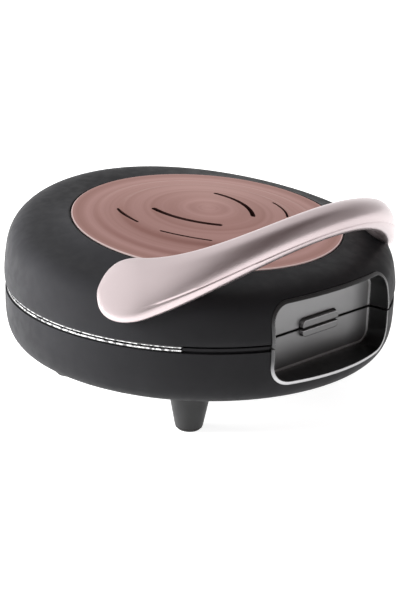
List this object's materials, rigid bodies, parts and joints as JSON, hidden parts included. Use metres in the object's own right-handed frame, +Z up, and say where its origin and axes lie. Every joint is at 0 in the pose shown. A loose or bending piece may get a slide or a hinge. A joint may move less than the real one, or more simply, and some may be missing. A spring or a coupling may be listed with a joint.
{
  "type": "donut maker",
  "caption": "Round electric donut maker with a hinged wedge-shaped lid, metal top disc, bow handle, sprung latch in a hand recess, ring-mould cooking plates and short tapered feet.",
  "frame": {"origin": "on the floor under the middle of the closed object's bounding box, hinge and handle included", "axes": "+Z up, the handle and latch face -Y, the hinge and cord gland are at +Y, X runs along the hinge pin"},
  "size_m": [0.2308, 0.2401, 0.1325],
  "materials": {
    "shell": "soft matte charcoal",
    "disc": "spun satin rose bronze",
    "grip": "satin champagne rose coating",
    "recess": "satin dark grey",
    "tab": "satin grey",
    "plate": "cast, dark non-stick coating with bare edge",
    "heater": "heat-dulled sheath",
    "pan": "bright sheet",
    "steel": "plated",
    "foot": "matte black",
    "rubber": "matte rubber",
    "switch": "ceramic-filled moulding",
    "lead": "sleeved silicone"
  },
  "bodies": {
    "base": {"base_shell": "shell", "base_recess_insert": "recess", "latch_catch": "tab", "lower_plate": "plate", "lower_heater": "heater", "lower_pan": "pan", "lower_plate_screws": "steel", "foot_screws": "steel", "hinge_pin": "steel", "cord_gland": "rubber", "thermostat": "switch", "thermal_fuse": "steel", "terminal_block": "switch", "base_leads": "lead", "foot_front_left": "foot", "foot_pad_front_left": "rubber", "foot_front_right": "foot", "foot_pad_front_right": "rubber", "foot_rear_left": "foot", "foot_pad_rear_left": "rubber", "foot_rear_right": "foot", "foot_pad_rear_right": "rubber"},
    "lid": {"lid_shell": "shell", "lid_disc": "disc", "handle_grip": "grip", "handle_underside": "shell", "handle_screws": "steel", "lid_recess_insert": "recess", "upper_plate": "plate", "upper_heater": "heater", "upper_pan": "pan", "upper_plate_screws": "steel", "latch_pin": "steel", "latch_spring": "steel", "lid_leads": "lead"},
    "latch": {"latch_lever": "tab"}
  },
  "joints": [
    {"name": "lid_hinge", "type": "hinge", "parent": "base", "child": "lid", "pos_m": [0, 0.1136, 0.061], "axis": [-1, 0, 0], "range_deg": [0, 105]},
    {"name": "latch_press", "type": "hinge", "parent": "lid", "child": "latch", "pos_m": [0, -0.0957, 0.073], "axis": [1, 0, 0], "range_deg": [0, 8], "stiffness_Nm_per_rad": 0.2, "springref_deg": -5.73, "deforming": ["latch_spring"]}
  ]
}
